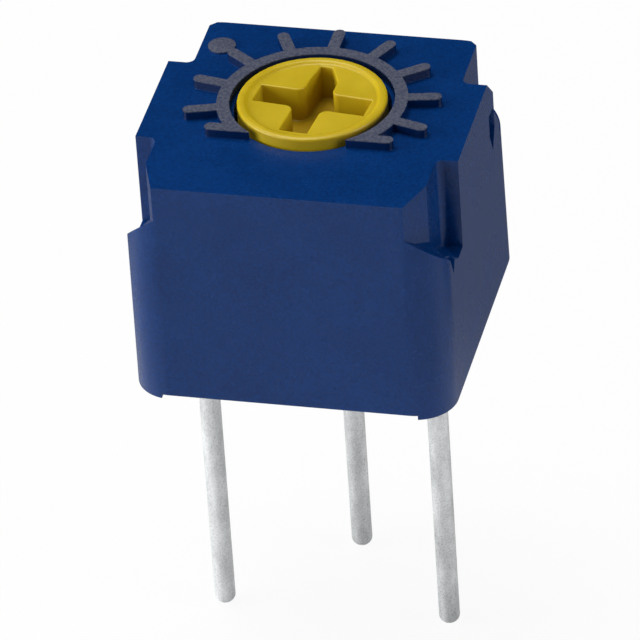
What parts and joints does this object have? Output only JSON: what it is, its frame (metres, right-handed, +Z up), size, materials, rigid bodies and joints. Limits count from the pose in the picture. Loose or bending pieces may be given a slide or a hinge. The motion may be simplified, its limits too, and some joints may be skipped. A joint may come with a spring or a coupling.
{
  "type": "trimmer potentiometer",
  "caption": "Single-turn trimming potentiometer in a square moulded housing, with a slotted rotor and wire terminals.",
  "frame": {"origin": "centre of the underside, in the plane of the feet that stand on the board", "axes": "+Z up along the rotor's axis, -Y to the front with the gap in the dial, +X to the right"},
  "size_m": [0.007, 0.007, 0.013],
  "materials": {
    "housing": "satin blue moulding, grey tops on the dial",
    "rotor": "satin yellow moulding",
    "seal": "matt",
    "contact": "pale spring alloy",
    "ceramic": "unglazed white",
    "track": "fired dark film",
    "film": "fired silver film",
    "solder": "satin",
    "terminal": "tinned",
    "resin": "cast, smooth"
  },
  "bodies": {
    "body": {"housing": "housing", "o_ring": "seal", "substrate": "ceramic", "resistive_track": "track", "collector_pad": "film", "collector_lead": "film", "end_pad_1": "film", "end_pad_3": "film", "solder_1": "solder", "solder_2": "solder", "solder_3": "solder", "terminal_1": "terminal", "terminal_2": "terminal", "terminal_3": "terminal", "potting": "resin"},
    "rotor": {"rotor": "rotor", "wiper": "contact"}
  },
  "joints": [
    {"name": "rotor_turn", "type": "hinge", "parent": "body", "child": "rotor", "pos_m": [0, 0, 0.004], "axis": [0, 0, 1], "range_deg": [-123.7, 136.3]}
  ]
}
